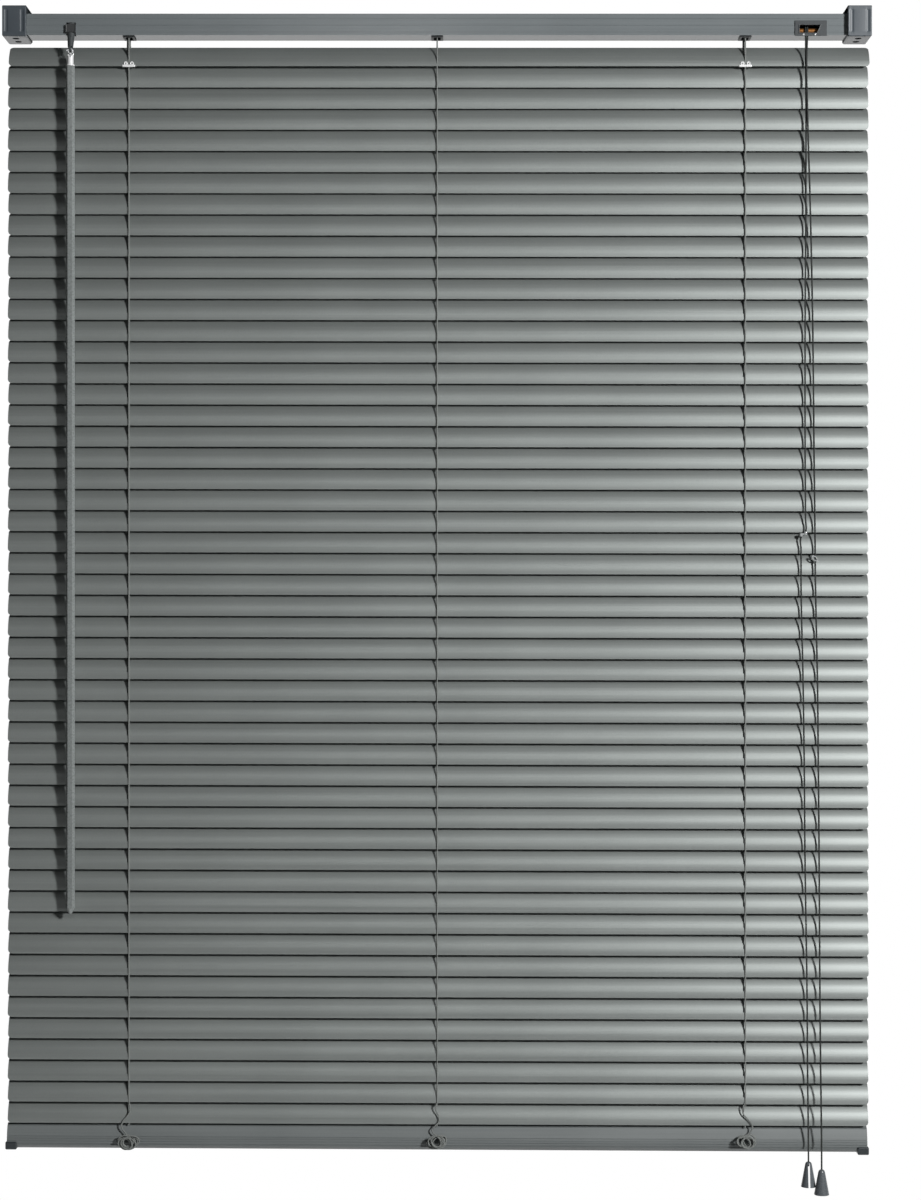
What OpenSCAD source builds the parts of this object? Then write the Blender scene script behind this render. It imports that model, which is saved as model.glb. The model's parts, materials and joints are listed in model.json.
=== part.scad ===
// Venetian blind with end brackets, wand tilter and cord lock, lowered and closed.
// Millimetres. The origin is the centre of the four wall screw holes, on the wall.
// +X runs to the right seen from the room, +Y into the wall, +Z up.

/* [Brackets] */
// width over both end brackets
blind_w = 900; // [600:10:1500]
// width of one bracket
bracket_w = 25; // [22:1:35]
// height of a bracket
bracket_h = 32; // [31:0.5:40]
// depth of a bracket from the wall
bracket_d = 36; // [36:0.5:45]
// wall of a bracket
bracket_t = 1.6; // [1.4:0.1:2]
// screw holes in the brackets
screw_d = 4.2; // [3:0.1:5]
// distance between the two screws of one bracket
screw_gap = 14; // [10:0.5:16]
// holes in the floor that let a screwdriver reach the ceiling screws
driver_d = 7; // [6:0.5:8]
// width of the lip that holds a cover
lip_w = 3.6; // [3:0.1:5]
// how far a cover slides up
cover_travel = 28; // [10:1:30]

/* [Headrail] */
// depth of the headrail
rail_d = 25; // [24:0.5:27]
// height of the headrail
rail_h = 22.2; // [22:0.1:24]
// wall of the headrail
rail_t = 1.2; // [0.8:0.1:1.5]
// width of the turned-in upper edges
rail_lip = 3.4; // [2:0.1:4]
// grooves along the front
groove_n = 3; // [0:1:3]
// distance from groove to groove
groove_gap = 7; // [5:0.5:7]
// depth of a groove
groove_d = 0.35; // [0.1:0.05:0.5]

/* [Slats] */
// number of slats
slat_n = 51; // [5:1:80]
// width of a slat, edge to edge
slat_w = 24.6; // [24:0.1:25.5]
// height of the curve across a slat
slat_rise = 2.2; // [1.5:0.1:2.6]
// thickness of a slat
slat_t = 0.45; // [0.3:0.05:0.6]
// distance from slat to slat
slat_pitch = 22; // [21:0.1:24]
// tilt when closed
slat_tilt = 75; // [70:1:78]
// how much shorter than the blind the slats are
slat_cut = 5; // [4:0.5:20]
// radius of the corners
slat_corner = 4; // [1:0.5:8]
// headrail underside to the middle of the first slat
first_drop = 18.4; // [17:0.1:30]

/* [Ladders and cords] */
// distance of the outer ladders from the ends
ladder_inset = 129.5; // [110:0.5:250]
// thickness of the ladder string
string_d = 1.4; // [0.8:0.1:1.6]
// thickness of the lift and pull cords
cord_d = 1.8; // [1.2:0.1:2]
// width of a rout hole along the slat
rout_w = 3.8; // [3.2:0.1:6]
// length of a rout hole across the slat
rout_l = 11; // [11:0.5:16]

/* [Tilter and wand] */
// distance of the wand from the left end
wand_inset = 70.5; // [60:0.5:90]
// length of the wand
wand_l = 877; // [300:1:1000]
// thickness of the wand, corner to corner
wand_d = 9.2; // [7:0.1:11]
// lean of the tilter stem from the vertical
stem_lean = 15; // [14:0.5:16]
// teeth of the worm wheel
wheel_teeth = 16; // [12:1:20]
// tilt rod, across the flats
rod_af = 5; // [4:0.1:5.5]

/* [Cord lock] */
// distance of the lock's middle from the right end
lock_inset = 62.5; // [60:0.5:75]
// width of the lock's front plate
lock_w = 33; // [32:0.5:36]
// height of the lock's front plate
lock_h = 16; // [15.5:0.1:16.5]
// radius of the roller
roller_r = 2.6; // [2:0.1:2.8]

/* [Pull cords] */
// height of the first tassel's top below the origin
tassel_drop_1 = 1182; // [500:1:1500]
// height of the second tassel's top below the origin
tassel_drop_2 = 1188.5; // [500:0.5:1500]
// height of a tassel
tassel_h = 25.5; // [20:0.5:40]
// diameter of a tassel's foot
tassel_d = 15.5; // [12:0.5:20]

/* [Bottom rail] */
// width of the bottom rail
foot_w = 25; // [24:0.5:26]
// thickness of the bottom rail
foot_t = 9; // [8:0.5:10]
// wall of the bottom rail
foot_wall = 1.2; // [0.8:0.1:1.5]
// middle of the last slat to the middle of the bottom rail
foot_drop = 25; // [24.5:0.1:30]
// how far an end cap covers the bottom rail
cap_l = 11; // [6:0.5:20]

/* [Clearances] */
// between pieces that are pressed or clipped together
fit_gap = 0.2; // [0.1:0.05:0.3]
// between pieces that slide or turn
run_gap = 0.4; // [0.3:0.05:0.6]

/* [Hidden] */
$fn = 48;
eps = 0.01;
// brackets
half_w = blind_w / 2;
bracket_in = half_w - bracket_w;
screw_x = half_w - bracket_w / 2;
front_y = -bracket_d;
floor_z = -bracket_h / 2;
// headrail
rail_floor_z = floor_z + bracket_t + 2 * run_gap;
rail_top_z = rail_floor_z + rail_h;
mid_y = -18.5;
rail_back_y = mid_y + rail_d / 2;
rail_front_y = mid_y - rail_d / 2;
rail_half_l = half_w - bracket_t - 2 * run_gap - 1;
deck_z = rail_floor_z + rail_t;
// covers
cover_back_y = rail_front_y - run_gap;
lip_back_y = front_y + 1.4;
// slats
slat_half_l = half_w - slat_cut / 2;
first_z = rail_floor_z - first_drop;
last_z = first_z - (slat_n - 1) * slat_pitch;
arc_r = (pow(slat_w / 2, 2) + pow(slat_rise, 2)) / (2 * slat_rise);
// ladders and cords
ladder_x = half_w - ladder_inset;
string_off = slat_w / 2 * cos(slat_tilt) + slat_t + string_d / 2 + 2 * fit_gap + 0.5;
front_string_y = mid_y - string_off;
back_string_y = mid_y + string_off;
// the lift cords pass beside the rungs, through the rout holes in the middle of the curve
lift_dx = cord_d / 2 + string_d / 2 + fit_gap;
rout_z = slat_rise * (1 - pow(rout_l / slat_w, 2)) + slat_t / 2;
lift_y = mid_y - rout_z * sin(slat_tilt);
// tilt rod and drums
rod_z = rail_floor_z + 13.1;
rod_r = rod_af / 2 / cos(30);
drum_r = string_off - string_d / 2 - fit_gap;
flange_r = drum_r + 1.2;
drum_l = 9;
upright_x = drum_l / 2 + 1.6 + run_gap + 0.8;
// tilter
wand_x = -half_w + wand_inset;
wheel_r = 5.2;
worm_r = 2.6;
axis_gap = wheel_r + worm_r + 2 * run_gap;
worm_y = mid_y - axis_gap * cos(stem_lean);
worm_z = rod_z + axis_gap * sin(stem_lean);
stem_r = 3.85;
stem_from = 3.2;
eye_at = 31.5;
eye_y = worm_y - eye_at * sin(stem_lean);
eye_z = worm_z - eye_at * cos(stem_lean);
eye_r = 1.6;
hook_ring = 2.4;
hook_wire = 0.6;
pin_r = 0.75;
sleeve_r = 3.2;
fork_r = 2.4;
pivot_z = eye_z - 2 * hook_ring - hook_wire - fit_gap - fork_r;
sleeve_l = 10;
wand_top = pivot_z - sleeve_l - fit_gap;
// cord lock
lock_x = half_w - lock_inset;
lock_top = rail_floor_z + 14.9;
lock_front = rail_front_y - 1.2;
lock_back = mid_y + 8;
roller_y = mid_y - 5.7;
roller_z = deck_z + fit_gap + 1.2 + roller_r + run_gap;
roller_l = 20;
exit_x_1 = lock_x - 5;
exit_x_2 = exit_x_1 + cord_d + fit_gap;
exit_y = rail_front_y + 2.5;
run_z = deck_z + 4.4;
over_z = roller_z + roller_r + cord_d / 2 + run_gap;
cord_end_z = rail_floor_z + 1.6;
// pull cords: distance right of the outlet, distance towards the wall, share of the way down
// to the tassel, and thickness
route_1 = [
  [0, 0, 0, 1], [0.1, 0.2, 0.02, 1], [0.5, 0.9, 0.08, 1], [0.5, 1.5, 0.14, 1],
  [0.3, 2, 0.25, 1], [0.9, 2.3, 0.37, 1], [1.5, 2.3, 0.43, 1], [1.5, 2.3, 0.439, 1],
  [-4.5, 2.3, 0.444, 1], [-4.5, 2.2, 0.455, 1], [-4.3, 2.1, 0.5, 1], [-2.5, 1.9, 0.57, 1],
  [-1.2, 1.7, 0.65, 1], [-0.5, 1.3, 0.73, 1], [1.5, 0.5, 0.85, 1], [1.9, -0.5, 0.92, 1],
  [2.5, -1.5, 0.97, 1], [2.7, -1.5, 1, 1]
];
stop_at = 7;
route_2 = [
  [0, 0, 0, 1], [0.1, 0.1, 0.02, 1], [1.1, 0.5, 0.08, 1], [2.9, 1, 0.14, 1],
  [5.8, 1.5, 0.25, 1], [7.9, 1.9, 0.37, 1], [9, 2.1, 0.44, 1], [9.2, 2.1, 0.462, 1],
  [9.2, 2.1, 0.4655, 1], [9.2, 2.1, 0.466, 1.9], [9.2, 2.1, 0.468, 1.9], [9.3, 2.1, 0.4685, 1],
  [9.5, 2.1, 0.5, 1], [10.5, 1.9, 0.57, 1], [11.3, 1.6, 0.64, 1], [12.1, 1.2, 0.72, 1],
  [12.7, -1, 0.85, 1], [13, -3.4, 0.91, 1], [13.4, -7, 0.97, 1], [13.3, -8.5, 1, 1]
];
ring_at = 7;
ring_lean = 24;
ring_h = 3.2;
ring_bore = cord_d + 2.1;
tassel_top_d = 7;
tassel_cap = 2;
tassel_slot = 2;
function route_point(exit_x, p, drop) =
  let (top = cord_end_z - fit_gap)
    [exit_x + p[0], exit_y + p[1], top + p[2] * (-drop - top)];
end_1 = route_point(exit_x_1, route_1[len(route_1) - 1], tassel_drop_1);
end_2 = route_point(exit_x_2, route_2[len(route_2) - 1], tassel_drop_2);
// bottom rail
foot_z = last_z - foot_drop;
foot_half_l = half_w - 2;
hank_w = 26;
hank_h = 14;
hank_t = 7;

// box between two corners
module span(a, b) {
  translate(a)
    cube(b - a);
}

// round bar between two points
module bar(a, b, d, facets = 24) {
  v = b - a;
  l = norm(v);
  translate(a)
    rotate([0, acos(v[2] / l), atan2(v[1], v[0])])
      cylinder(h = l, d = d, $fn = facets);
}

// direction of a route at its point i
function unit(v) = v / norm(v);
function heading(p, i) =
  unit(
    (i + 1 < len(p) ? unit(p[i + 1] - p[i]) : [0, 0, 0])
    + (i > 0 ? unit(p[i] - p[i - 1]) : [0, 0, 0])
  );

// a side direction at each point, carried along the route so that the tube doesn't twist
function sides_of(p, i = 0, last = [0.3, 1, 0.2]) =
  i == len(p)
    ? []
    : let (t = heading(p, i), u = unit(last - (last * t) * t))
        concat([u], sides_of(p, i + 1, u));

// eight-sided tube through a list of points, with a radius at each
module tube(p, r) {
  m = 8;
  u = sides_of(p);
  polyhedron(
    points = [
      for (i = [0 : len(p) - 1], k = [0 : m - 1])
        let (v = cross(heading(p, i), u[i]))
          p[i] + r[i] * (cos(360 * k / m) * u[i] + sin(360 * k / m) * v)
    ],
    faces = concat(
      [[for (k = [0 : m - 1]) k]],
      [
        for (i = [0 : len(p) - 2], k = [0 : m - 1])
          [i * m + k, (i + 1) * m + k, (i + 1) * m + (k + 1) % m, i * m + (k + 1) % m]
      ],
      [[for (k = [0 : m - 1]) len(p) * m - 1 - k]]
    ),
    convexity = 10
  );
}

// mirror for the left side
module side(right) {
  if (right)
    children();
  else
    mirror([1, 0, 0])
      children();
}

// puts a profile drawn as (towards the wall, up) along the blind
module along(l) {
  rotate([90, 0, 90])
    translate([0, 0, -l / 2])
      linear_extrude(height = l)
        children();
}

// place of slat i: its own x runs along the blind, y towards the upper edge, z out of its curve
module at_slat(z) {
  translate([0, mid_y, z])
    rotate([slat_tilt, 0, 0])
      children();
}

// where a point of a slat's section lies when the slat's middle is at height 0
function slat_point(y, z) =
  [0, mid_y + y * cos(slat_tilt) - z * sin(slat_tilt), y * sin(slat_tilt) + z * cos(slat_tilt)];

module rail_profile() {
  difference() {
    translate([rail_front_y, rail_floor_z])
      square([rail_d, rail_h]);
    translate([rail_front_y + rail_t, deck_z])
      square([rail_d - 2 * rail_t, rail_h - 2 * rail_t]);
    translate([rail_front_y + rail_lip, rail_top_z - 2 * rail_t])
      square([rail_d - 2 * rail_lip, 3 * rail_t]);
    for (i = [1 : 1 : groove_n])
      translate([rail_front_y - 1, rail_floor_z + 2.5 + (i - 1) * groove_gap])
        square([1 + groove_d, 0.7]);
  }
}

module headrail() {
  color([0.42, 0.44, 0.47])
    difference() {
      along(2 * rail_half_l)
        rail_profile();
      // ladder openings
      for (x = [-ladder_x, 0, ladder_x])
        span(
          [x - 6 - fit_gap, mid_y - string_off - 3 - fit_gap, rail_floor_z - 1],
          [x + 6 + fit_gap, mid_y + string_off + 3 + fit_gap, deck_z + eps]
        );
      // tilter slot, through the lower front edge
      span(
        [wand_x - 5, rail_front_y - 1, rail_floor_z - 1],
        [wand_x + 5, rail_front_y + rail_t + eps, rail_floor_z + 15.6]
      );
      span(
        [wand_x - 5, rail_front_y - 1, rail_floor_z - 1],
        [wand_x + 5, rail_front_y + 5.6, deck_z + eps]
      );
      // cord lock window and cord outlet
      span(
        [lock_x - lock_w / 2 + 1, rail_front_y - 1, deck_z],
        [lock_x + lock_w / 2 - 1, rail_front_y + rail_t + eps, lock_top - 1]
      );
      span(
        [exit_x_1 - 3, rail_front_y + rail_t, rail_floor_z - 1],
        [exit_x_2 + 3, exit_y + 2.2, deck_z + eps]
      );
    }
}

module bracket_shell() {
  // back, roof, floor and outer side
  span([bracket_in, -bracket_t, floor_z], [half_w, 0, -floor_z]);
  span([bracket_in, cover_back_y + run_gap, -floor_z - bracket_t], [half_w, 0, -floor_z]);
  span([bracket_in, front_y, floor_z], [half_w, 0, floor_z + bracket_t]);
  span([half_w - bracket_t, front_y, floor_z], [half_w, 0, -floor_z]);
  // lips in front of the cover
  span([half_w - lip_w, front_y, floor_z], [half_w, lip_back_y, -floor_z]);
  span([bracket_in, front_y, floor_z], [bracket_in + lip_w, lip_back_y, -floor_z]);
  // post that joins the inner lip to the roof
  span([bracket_in, front_y, floor_z], [bracket_in + 1.2, rail_front_y - run_gap / 2, floor_z + 3]);
  span([bracket_in, front_y, rail_top_z + 1], [bracket_in + 1.2, cover_back_y + 2, -floor_z]);
}

module end_bracket(right) {
  color([0.30, 0.31, 0.32])
    side(right)
      difference() {
        bracket_shell();
        for (k = [-1, 1]) {
          translate([screw_x, 1, k * screw_gap / 2])
            rotate([90, 0, 0])
              cylinder(h = bracket_t + 2, d = screw_d);
          translate([screw_x, mid_y + k * screw_gap / 2, -floor_z - bracket_t - 1])
            cylinder(h = bracket_t + 2, d = screw_d);
          translate([screw_x, mid_y + k * screw_gap / 2, floor_z - 1])
            cylinder(h = bracket_t + 2, d = driver_d);
        }
      }
}

module cover(right) {
  low = floor_z + bracket_t + fit_gap;
  color([0.33, 0.34, 0.36])
    side(right) {
      // plate in the grooves
      span(
        [bracket_in + 1.2 + run_gap, lip_back_y + run_gap, low],
        [half_w - bracket_t - run_gap, cover_back_y - run_gap / 2, -floor_z]
      );
      // raised panel between the lips
      span(
        [bracket_in + lip_w + 2 * run_gap, front_y - 0.3, low],
        [half_w - lip_w - 2 * run_gap, lip_back_y + run_gap + eps, -floor_z]
      );
    }
}

// turns local z into the axis of the worm, pointing down and into the room
module on_worm() {
  translate([wand_x, worm_y, worm_z])
    rotate([180 - stem_lean, 0, 0])
      children();
}

module tilter_housing() {
  color([0.75, 0.75, 0.73])
    difference() {
      span(
        [wand_x - 9, rail_front_y + rail_t + run_gap, deck_z + fit_gap],
        [wand_x + 9, rail_back_y - rail_t - run_gap, rail_top_z - rail_t - 0.6]
      );
      // room for the wheel, the rod and the worm
      translate([wand_x - 4 - run_gap, mid_y, rod_z])
        rotate([0, 90, 0])
          cylinder(h = 8 + 2 * run_gap, r = wheel_r + 2 * run_gap);
      translate([wand_x - 10, mid_y, rod_z])
        rotate([0, 90, 0])
          cylinder(h = 20, r = rod_r + run_gap);
      on_worm()
        translate([0, 0, -20])
          cylinder(h = 24, r = worm_r + run_gap);
      on_worm()
        translate([0, 0, stem_from - run_gap])
          cylinder(h = 40, r = stem_r + run_gap);
      // open front, where the stem leaves
      span(
        [wand_x - 5, rail_front_y, deck_z - 1],
        [wand_x + 5, worm_y - 1.2, rail_top_z]
      );
    }
}

module tilter_worm() {
  color([0.46, 0.47, 0.48])
    on_worm() {
      translate([0, 0, -4.6])
        cylinder(h = 4.6 + stem_from + 1, r = worm_r);
      translate([0, 0, stem_from])
        cylinder(h = 12, r = stem_r);
      difference() {
        union() {
          translate([0, 0, stem_from + 12 - eps])
            cylinder(h = eye_at - stem_from - 14, r1 = stem_r, r2 = 2.85);
          translate([-0.85, -2.4, eye_at - 4])
            cube([1.7, 4.8, 6.4]);
        }
        translate([-5, 0, eye_at])
          rotate([0, 90, 0])
            cylinder(h = 10, r = eye_r);
      }
    }
}

module worm_wheel() {
  tooth = 360 / wheel_teeth;
  color([0.85, 0.85, 0.82])
    translate([wand_x - 4, mid_y, rod_z])
      rotate([90, 0, 90])
        linear_extrude(height = 8)
          difference() {
            polygon([
              for (i = [0 : wheel_teeth - 1], k = [0 : 3])
                let (r = k < 2 ? wheel_r : wheel_r - 0.8, a = (i + k / 4) * tooth)
                  [r * cos(a), r * sin(a)]
            ]);
            circle(r = rod_r + fit_gap, $fn = 6);
          }
}

module tilt_rod() {
  color([0.7, 0.7, 0.7])
    translate([wand_x - 14, mid_y, rod_z])
      rotate([0, 90, 0])
        rotate([0, 0, 90])
          cylinder(h = ladder_x + 14 - wand_x + 14, r = rod_r, $fn = 6);
}

module drum(x) {
  color([0.85, 0.85, 0.82])
    translate([x, mid_y, rod_z])
      rotate([90, 0, 90])
        difference() {
          union() {
            translate([0, 0, -drum_l / 2 - 1.6])
              cylinder(h = drum_l + 3.2, r = drum_r);
            for (k = [-1, 1])
              translate([0, 0, k * (drum_l / 2 + 0.8) - 0.8])
                cylinder(h = 1.6, r = flange_r);
          }
          translate([0, 0, -20])
            linear_extrude(height = 40)
              circle(r = rod_r + fit_gap, $fn = 6);
        }
}

module cradle(x) {
  low = deck_z + fit_gap;
  color([0.75, 0.75, 0.73])
    translate([x, mid_y, 0])
      difference() {
        union() {
          span([-13, -9.5, low], [13, 9.5, low + 1.4]);
          span([-6, -string_off - 3, rail_floor_z - 1.2], [6, string_off + 3, low + 1]);
          for (k = [-1, 1])
            translate([k * (upright_x + 1), 0, 0])
              span([-1, -7, low], [1, 7, rod_z + 3]);
        }
        span([-3.6, -string_off - 1.6, rail_floor_z - 3], [3.6, string_off + 1.6, low + 4]);
        // the rod runs in the uprights, the cords pass below it
        translate([-20, 0, rod_z])
          rotate([0, 90, 0])
            cylinder(h = 40, r = rod_r + run_gap);
        span([-20, -3.6, run_z - cord_d], [20, 3.6, run_z + cord_d]);
      }
}

// ring through the eye of the stem, shank, and the pin that carries the wand's sleeve
module wand_hook() {
  color([0.8, 0.8, 0.8])
    translate([wand_x, eye_y, 0]) {
      translate([0, 0, eye_z - hook_ring])
        rotate([90, 0, 0])
          rotate_extrude($fn = 36)
            translate([hook_ring, 0])
              circle(r = hook_wire, $fn = 20);
      translate([0, 0, pivot_z])
        cylinder(h = eye_z - 2 * hook_ring - pivot_z, r = hook_wire * 0.8);
      translate([-sleeve_r + 0.4, 0, pivot_z])
        rotate([0, 90, 0])
          cylinder(h = 2 * sleeve_r - 0.8, r = pin_r);
    }
}

// sleeve with a forked, rounded top that swings on the hook's pin
module wand_sleeve() {
  color([0.9, 0.9, 0.9])
    translate([wand_x, eye_y, pivot_z])
      difference() {
        union() {
          translate([0, 0, -sleeve_l])
            cylinder(h = sleeve_l, r = sleeve_r);
          translate([0, 0, -sleeve_l])
            cylinder(h = 1.2, r = wand_d / 2 - 0.3);
          intersection() {
            translate([0, 0, -1])
              cylinder(h = fork_r + 2, r = sleeve_r);
            translate([-sleeve_r, 0, 0])
              rotate([0, 90, 0])
                cylinder(h = 2 * sleeve_r, r = fork_r);
          }
        }
        // slot for the shank, bore for the pin, and the seat of the wand
        span([-hook_wire - run_gap, -5, -pin_r - run_gap], [hook_wire + run_gap, 5, 5]);
        translate([-5, 0, 0])
          rotate([0, 90, 0])
            cylinder(h = 10, r = pin_r + fit_gap);
        translate([0, 0, -sleeve_l - 1])
          cylinder(h = 6.4, r = 2.2);
      }
}

module wand() {
  color([0.45, 0.46, 0.47])
    translate([wand_x, eye_y, wand_top]) {
      cylinder(h = 4.4, r = 2);
      translate([0, 0, 6 - wand_l])
        cylinder(h = wand_l - 6, d = wand_d, $fn = 6);
      translate([0, 0, -wand_l])
        cylinder(h = 6 + eps, r1 = 1.5, r2 = wand_d / 2 * cos(30));
    }
}

module lock_window() {
  polygon([[-12, 3.3], [-12, 11.6], [10, 11.6], [6, 3.3]]);
}

module cord_lock_body() {
  low = deck_z + fit_gap;
  left = lock_x - lock_w / 2 + 1 + fit_gap;
  right = lock_x + lock_w / 2 - 1 - fit_gap;
  color([0.2, 0.2, 0.2])
    difference() {
      union() {
        // front plate and box
        span(
          [lock_x - lock_w / 2, lock_front, lock_top - lock_h],
          [lock_x + lock_w / 2, rail_front_y - fit_gap, lock_top]
        );
        span([left, rail_front_y - 1, low], [right, lock_back, lock_top - 1 - fit_gap]);
      }
      // inside
      span(
        [left + 1.4, rail_front_y + 0.4, low + 1.2],
        [right - 1.4, lock_back - 1.4, lock_top + 1]
      );
      // slanted window
      translate([lock_x, 0, rail_floor_z - 1.2])
        rotate([90, 0, 0])
          translate([0, 0, -rail_front_y - 3])
            linear_extrude(height = 8)
              lock_window();
      // cords in at the side, out below
      span([left - 1, mid_y - 3.6, run_z - 1.8], [left + 2, mid_y + 3.6, over_z + cord_d]);
      span(
        [exit_x_1 - 2, exit_y - 1.6, low - 1],
        [exit_x_2 + 2, exit_y + 1.6, low + 2]
      );
      // axle holes
      translate([left - 1, roller_y, roller_z])
        rotate([0, 90, 0])
          cylinder(h = lock_w, r = 0.9 + fit_gap / 2);
    }
}

module lock_axle() {
  color([0.8, 0.8, 0.8])
    translate([lock_x - lock_w / 2 + 1.6, roller_y, roller_z])
      rotate([0, 90, 0])
        cylinder(h = lock_w - 3.2, r = 0.9);
}

module lock_roller() {
  color([0.65, 0.42, 0.2])
    translate([lock_x - roller_l / 2 - 1, roller_y, roller_z])
      rotate([0, 90, 0])
        difference() {
          cylinder(h = roller_l, r = roller_r);
          translate([0, 0, -1])
            cylinder(h = roller_l + 2, r = 0.9 + fit_gap);
        }
}

module slat_outline() {
  l = 2 * slat_half_l;
  square([l - 2 * slat_corner, slat_w], center = true);
  square([l, slat_w - 2 * slat_corner], center = true);
  for (x = [-1, 1], y = [-1, 1])
    translate([x * (l / 2 - slat_corner), y * (slat_w / 2 - slat_corner)])
      circle(r = slat_corner);
}

// one slat on its own axes, its two long edges at z = 0
module slat() {
  intersection() {
    translate([-slat_half_l - 1, 0, slat_rise - arc_r])
      rotate([0, 90, 0])
        difference() {
          cylinder(h = 2 * slat_half_l + 2, r = arc_r + slat_t, $fn = 180);
          translate([0, 0, -1])
            cylinder(h = 2 * slat_half_l + 4, r = arc_r, $fn = 180);
        }
    translate([0, 0, -1])
      linear_extrude(height = slat_rise + slat_t + 2)
        difference() {
          slat_outline();
          for (x = [-ladder_x, ladder_x])
            translate([x - lift_dx, 0])
              square([rout_w, rout_l], center = true);
        }
  }
}

module slats() {
  color([0.47, 0.49, 0.48])
    for (i = [0 : slat_n - 1])
      at_slat(first_z - i * slat_pitch)
        slat();
}

// two strings, and a rung that passes below each slat and turns level to meet both strings
module ladder(x) {
  back = -string_d / 2 - fit_gap - 0.15;
  low = slat_point(-slat_w / 2 - 1.2, back);
  high = slat_point(slat_w / 2 + 0.4, back);
  color([0.62, 0.63, 0.63])
    translate([x, 0, 0]) {
      translate([0, front_string_y, foot_z + 8])
        cylinder(h = rod_z - foot_z - 8, d = string_d, $fn = 8);
      translate([0, back_string_y, foot_z + foot_w / 2 + 2])
        cylinder(h = rod_z - foot_z - foot_w / 2 - 2, d = string_d, $fn = 8);
      for (i = [0 : slat_n - 1])
        translate([0, 0, first_z - i * slat_pitch]) {
          bar([0, front_string_y, low[2]], low, string_d * 0.9, 6);
          bar(low, high, string_d * 0.9, 6);
          bar(high, [0, back_string_y, high[2]], string_d * 0.9, 6);
        }
    }
}

// clip on the lower edge of the first slat: two cheeks, and a strap behind the ladder's string
module clip(x) {
  bend = atan(4 * slat_rise / slat_w);
  slit = slat_t + fit_gap;
  color([0.92, 0.92, 0.92])
    difference() {
      at_slat(first_z)
        translate([x, -slat_w / 2, 0]) {
          difference() {
            union() {
              span([-7, -2, -1.6], [7, 3, 2.6]);
              for (k = [-1, 1])
                translate([k * 4, 0.6, 2])
                  cylinder(h = 2, r = 1.7);
            }
            // slit for the slat, notch for the string, and a free back
            rotate([bend, 0, 0])
              span([-8, -0.3, -0.5], [8, 8, slit]);
            span([-1.2, -3, -3], [1.2, 4, 5]);
            span([-8, 2, -3], [8, 4, -0.2]);
          }
          rotate([bend, 0, 0])
            span([-1.3, 0, slit], [1.3, 1.8, slit + 0.35]);
        }
      // room for the lift cord
      translate([x - lift_dx, lift_y, first_z - 30])
        cylinder(h = 60, d = cord_d + 2 * run_gap);
    }
}

module lift_cord(x, y, exit_x) {
  route = [
    [x, mid_y + 2, foot_z + 5],
    [x, mid_y + 2, foot_z + 13],
    [x, (mid_y + 2 + lift_y) / 2, foot_z + 16],
    [x, lift_y, foot_z + 19],
    [x, lift_y, run_z - 5],
    [x + 0.6, lift_y, run_z - 2.4],
    [x + 2, (lift_y + y) / 2, run_z - 0.7],
    [x + 5, y, run_z],
    [lock_x - lock_w / 2 - 4, y, run_z],
    [exit_x - 3, y, over_z],
    [exit_x - 0.8, y - 0.8, over_z],
    [exit_x, y - 3, over_z],
    [exit_x, roller_y, over_z],
    [exit_x, (roller_y + exit_y) / 2 - 0.8, over_z - 1],
    [exit_x, exit_y, roller_z],
    [exit_x, exit_y, cord_end_z]
  ];
  color([0.25, 0.26, 0.25])
    tube(route, [for (p = route) cord_d / 2]);
}

// a pull cord from the lock to the knot inside its tassel
module pull_cord(exit_x, route, drop) {
  bottom = route_point(exit_x, route[len(route) - 1], drop);
  knot = tassel_cap + run_gap;
  color([0.22, 0.23, 0.22])
    tube(
      concat(
        [for (p = route) route_point(exit_x, p, drop)],
        [for (d = [0.3, 0.7, 2.1, 2.5]) bottom - [0, 0, knot + d]]
      ),
      concat([for (p = route) p[3] * cord_d / 2], [1, 1.7, 1.7, 1] * cord_d / 2)
    );
}

// barrel that joins the two lengths of the first pull cord
module cord_stop_1() {
  a = route_point(exit_x_1, route_1[stop_at], tassel_drop_1);
  b = route_point(exit_x_1, route_1[stop_at + 1], tassel_drop_1);
  color([0.3, 0.31, 0.31])
    difference() {
      bar(a + 0.12 * (b - a), a + 0.88 * (b - a), cord_d + 2.8, 48);
      bar(a, b, cord_d + 2 * fit_gap, 48);
    }
}

// ring that hangs aslant on a knot of the second pull cord
module cord_stop_2() {
  color([0.3, 0.31, 0.31])
    translate(route_point(exit_x_2, route_2[ring_at], tassel_drop_2))
      rotate([0, ring_lean, 0])
        difference() {
          cylinder(h = ring_h, d = ring_bore + 2.8, center = true);
          cylinder(h = ring_h + 1, d = ring_bore, center = true);
        }
}

// hollow bell on two halves, joined by its cap
module tassel(end, drop, turn) {
  inside = tassel_d / 2 - 1.4;
  color([0.28, 0.29, 0.3])
    translate([end[0], end[1], -drop - tassel_h])
      rotate([0, 0, turn])
        difference() {
          rotate_extrude()
            polygon([
              [inside, 0],
              [tassel_d / 2, 0],
              [tassel_top_d / 2, tassel_h - 2.4],
              [tassel_top_d / 2 - 0.7, tassel_h - 0.8],
              [tassel_top_d / 2 - 1.8, tassel_h],
              [cord_d / 2 + run_gap, tassel_h],
              [cord_d / 2 + run_gap, tassel_h - tassel_cap],
              [tassel_top_d / 2 - 0.9, tassel_h - tassel_cap]
            ]);
          span(
            [-tassel_slot / 2, -tassel_d, -1],
            [tassel_slot / 2, tassel_d, tassel_h - tassel_cap - eps]
          );
        }
}

// section of the bottom rail as (towards the upper edge, out of the curve)
module foot_section(inset) {
  w = foot_w / 2 - inset;
  t = foot_t / 2 - inset;
  polygon([
    [-w + 2.5, -t], [w - 2.5, -t], [w, -t + 2.5], [w, t - 3.5], [w - 3.5, t - 0.4],
    [w / 3, t], [-w + 2.5, t], [-w, t - 2.5], [-w, -t + 2.5]
  ]);
}

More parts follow.
